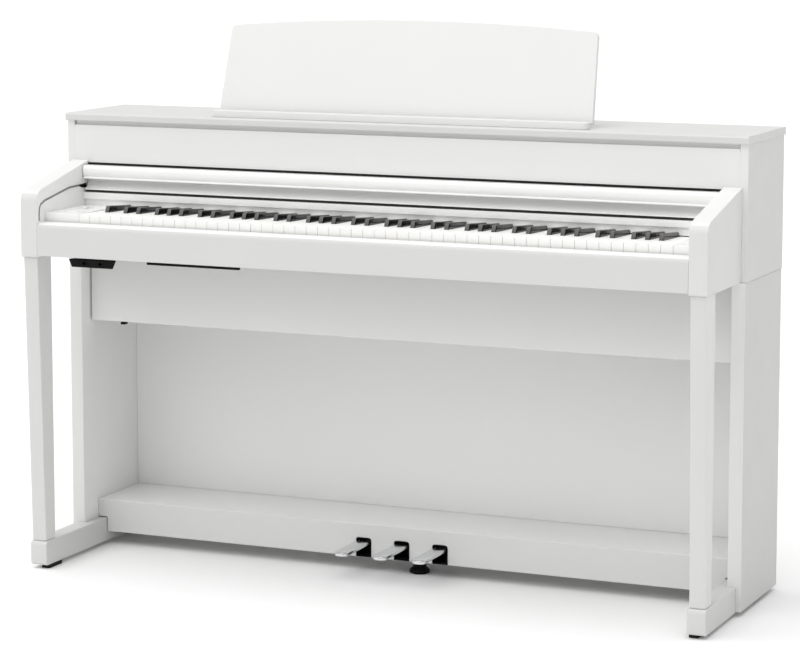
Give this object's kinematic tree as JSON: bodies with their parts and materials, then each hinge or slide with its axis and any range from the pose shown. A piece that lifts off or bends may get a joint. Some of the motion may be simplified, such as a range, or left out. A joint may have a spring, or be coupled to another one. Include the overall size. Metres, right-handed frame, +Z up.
{
  "type": "digital piano on stand",
  "caption": "Upright digital piano cabinet with a sliding key cover, folding music rest, keyboard, foot pedals and a two-sided stand; its keys, pedals, cover and rest all move.",
  "frame": {"origin": "on the floor, under the middle of the cabinet", "axes": "+X to the player's right, along the keyboard; +Y to the back of the cabinet; +Z up"},
  "size_m": [1.44, 0.45, 1.1009],
  "materials": {
    "white_body": "satin white paint film on board",
    "white_key": "semi-gloss ivory-white",
    "black_key": "satin black with a fine grain",
    "felt": "black felt",
    "black_plastic": "fine-textured black",
    "grey_plastic": "satin light grey",
    "white_plastic": "satin white",
    "chrome": "polished",
    "steel": "bright wire",
    "back_board": "thin painted board",
    "circuit": "green solder mask",
    "rubber": "matte"
  },
  "bodies": {
    "cabinet": {"lid": "white_body", "side_panel_left": "white_body", "side_panel_right": "white_body", "arm_left": "white_body", "arm_right": "white_body", "upper_front_panel": "white_body", "keybed": "white_body", "keyslip": "white_body", "key_block_left": "white_body", "key_block_right": "white_body", "fallboard": "white_body", "music_rest_ledge": "white_body", "stand_side_left": "white_body", "stand_side_right": "white_body", "leg_left": "white_body", "leg_right": "white_body", "toe_rail_left": "white_body", "toe_rail_right": "white_body", "lower_back_board": "white_body", "speaker_board": "white_body", "pedal_box": "white_body", "panel_felt": "felt", "fallboard_felt": "felt", "power_inlet": "black_plastic", "headphone_box": "black_plastic", "speaker_left": "black_plastic", "speaker_right": "black_plastic", "key_frame": "grey_plastic", "upper_back_panel": "back_board", "main_board": "circuit", "foot_front_left": "rubber", "foot_front_right": "rubber", "foot_rear_left": "rubber", "foot_rear_right": "rubber"},
    "key_cover": {"key_cover_board": "white_body", "key_cover_nose": "white_body"},
    "music_rest": {"music_rest_board": "white_body"},
    "rest_stay": {"music_rest_stay": "steel"},
    "whites_1": {"white_keys_1": "white_key"},
    "blacks_1": {"black_keys_1": "black_key"},
    "whites_2": {"white_keys_2": "white_key"},
    "blacks_2": {"black_keys_2": "black_key"},
    "whites_3": {"white_keys_3": "white_key"},
    "blacks_3": {"black_keys_3": "black_key"},
    "whites_4": {"white_keys_4": "white_key"},
    "blacks_4": {"black_keys_4": "black_key"},
    "whites_5": {"white_keys_5": "white_key"},
    "blacks_5": {"black_keys_5": "black_key"},
    "whites_6": {"white_keys_6": "white_key"},
    "blacks_6": {"black_keys_6": "black_key"},
    "whites_7": {"white_keys_7": "white_key"},
    "blacks_7": {"black_keys_7": "black_key"},
    "left_pedal": {"pedal_left": "chrome"},
    "middle_pedal": {"pedal_middle": "chrome"},
    "right_pedal": {"pedal_right": "chrome"},
    "support_screw": {"pedal_support_knob": "black_plastic"},
    "button_1": {"function_button_1": "white_plastic"},
    "button_2": {"function_button_2": "white_plastic"},
    "power_switch": {"power_button": "white_plastic"},
    "volume_cap": {"volume_slider": "white_plastic"}
  },
  "joints": [
    {"name": "key_cover_track", "type": "hinge", "parent": "cabinet", "child": "key_cover", "pos_m": [0, 0.05, -0.34], "axis": [1, 0, 0], "range_deg": [0, 9.25]},
    {"name": "music_rest_fold", "type": "hinge", "parent": "cabinet", "child": "music_rest", "pos_m": [0, 0.038, 0.917], "axis": [-1, 0, 0], "range_deg": [0, 74.5]},
    {"name": "rest_stay_swing", "type": "hinge", "parent": "music_rest", "child": "rest_stay", "pos_m": [0, 0.0564, 0.95341], "axis": [1, 0, 0], "range_deg": [0, 121.6]},
    {"name": "white_dip_1", "type": "hinge", "parent": "cabinet", "child": "whites_1", "pos_m": [-0.48939, 0.031, 0.706], "axis": [1, 0, 0], "range_deg": [0, 2.6], "stiffness_Nm_per_rad": 8, "springref_deg": -17.19},
    {"name": "black_dip_1", "type": "hinge", "parent": "cabinet", "child": "blacks_1", "pos_m": [-0.48939, 0.031, 0.719], "axis": [1, 0, 0], "range_deg": [0, 2.6], "stiffness_Nm_per_rad": 3, "springref_deg": -11.46},
    {"name": "white_dip_2", "type": "hinge", "parent": "cabinet", "child": "whites_2", "pos_m": [-0.30075, 0.031, 0.706], "axis": [1, 0, 0], "range_deg": [0, 2.6], "stiffness_Nm_per_rad": 8, "springref_deg": -17.19},
    {"name": "black_dip_2", "type": "hinge", "parent": "cabinet", "child": "blacks_2", "pos_m": [-0.30075, 0.031, 0.719], "axis": [1, 0, 0], "range_deg": [0, 2.6], "stiffness_Nm_per_rad": 3, "springref_deg": -11.46},
    {"name": "white_dip_3", "type": "hinge", "parent": "cabinet", "child": "whites_3", "pos_m": [-0.13569, 0.031, 0.706], "axis": [1, 0, 0], "range_deg": [0, 2.6], "stiffness_Nm_per_rad": 8, "springref_deg": -17.19},
    {"name": "black_dip_3", "type": "hinge", "parent": "cabinet", "child": "blacks_3", "pos_m": [-0.13569, 0.031, 0.719], "axis": [1, 0, 0], "range_deg": [0, 2.6], "stiffness_Nm_per_rad": 3, "springref_deg": -11.46},
    {"name": "white_dip_4", "type": "hinge", "parent": "cabinet", "child": "whites_4", "pos_m": [0.02937, 0.031, 0.706], "axis": [1, 0, 0], "range_deg": [0, 2.6], "stiffness_Nm_per_rad": 8, "springref_deg": -17.19},
    {"name": "black_dip_4", "type": "hinge", "parent": "cabinet", "child": "blacks_4", "pos_m": [0.02937, 0.031, 0.719], "axis": [1, 0, 0], "range_deg": [0, 2.6], "stiffness_Nm_per_rad": 3, "springref_deg": -11.46},
    {"name": "white_dip_5", "type": "hinge", "parent": "cabinet", "child": "whites_5", "pos_m": [0.19443, 0.031, 0.706], "axis": [1, 0, 0], "range_deg": [0, 2.6], "stiffness_Nm_per_rad": 8, "springref_deg": -17.19},
    {"name": "black_dip_5", "type": "hinge", "parent": "cabinet", "child": "blacks_5", "pos_m": [0.19443, 0.031, 0.719], "axis": [1, 0, 0], "range_deg": [0, 2.6], "stiffness_Nm_per_rad": 3, "springref_deg": -11.46},
    {"name": "white_dip_6", "type": "hinge", "parent": "cabinet", "child": "whites_6", "pos_m": [0.35949, 0.031, 0.706], "axis": [1, 0, 0], "range_deg": [0, 2.6], "stiffness_Nm_per_rad": 8, "springref_deg": -17.19},
    {"name": "black_dip_6", "type": "hinge", "parent": "cabinet", "child": "blacks_6", "pos_m": [0.35949, 0.031, 0.719], "axis": [1, 0, 0], "range_deg": [0, 2.6], "stiffness_Nm_per_rad": 3, "springref_deg": -11.46},
    {"name": "white_dip_7", "type": "hinge", "parent": "cabinet", "child": "whites_7", "pos_m": [0.53634, 0.031, 0.706], "axis": [1, 0, 0], "range_deg": [0, 2.6], "stiffness_Nm_per_rad": 8, "springref_deg": -17.19},
    {"name": "black_dip_7", "type": "hinge", "parent": "cabinet", "child": "blacks_7", "pos_m": [0.53634, 0.031, 0.719], "axis": [1, 0, 0], "range_deg": [0, 2.6], "stiffness_Nm_per_rad": 3, "springref_deg": -11.46},
    {"name": "left_pedal_press", "type": "hinge", "parent": "cabinet", "child": "left_pedal", "pos_m": [-0.0837, 0.16, 0.058], "axis": [1, 0, 0], "range_deg": [0, 5.2], "stiffness_Nm_per_rad": 12, "springref_deg": -11.46},
    {"name": "middle_pedal_press", "type": "hinge", "parent": "cabinet", "child": "middle_pedal", "pos_m": [-0.001, 0.16, 0.058], "axis": [1, 0, 0], "range_deg": [0, 5.2], "stiffness_Nm_per_rad": 12, "springref_deg": -11.46},
    {"name": "right_pedal_press", "type": "hinge", "parent": "cabinet", "child": "right_pedal", "pos_m": [0.0817, 0.16, 0.058], "axis": [1, 0, 0], "range_deg": [0, 5.2], "stiffness_Nm_per_rad": 12, "springref_deg": -11.46},
    {"name": "support_screw_rise", "type": "slide", "parent": "cabinet", "child": "support_screw", "axis": [0, 0, 1], "range_m": [0, 0.006]},
    {"name": "function_button_press_1", "type": "slide", "parent": "cabinet", "child": "button_1", "axis": [0, 0, -1], "range_m": [0, 0.002], "stiffness_N_per_m": 400, "springref_m": -0.002},
    {"name": "function_button_press_2", "type": "slide", "parent": "cabinet", "child": "button_2", "axis": [0, 0, -1], "range_m": [0, 0.002], "stiffness_N_per_m": 400, "springref_m": -0.002},
    {"name": "power_button_press", "type": "slide", "parent": "cabinet", "child": "power_switch", "axis": [0, 0, -1], "range_m": [0, 0.002], "stiffness_N_per_m": 400, "springref_m": -0.002},
    {"name": "volume_slide", "type": "slide", "parent": "cabinet", "child": "volume_cap", "axis": [0, 1, 0], "range_m": [0, 0.03]}
  ],
  "couplings": [
    {"joint": "rest_stay_swing", "follows": "music_rest_fold", "ratio": 1.6309}
  ]
}
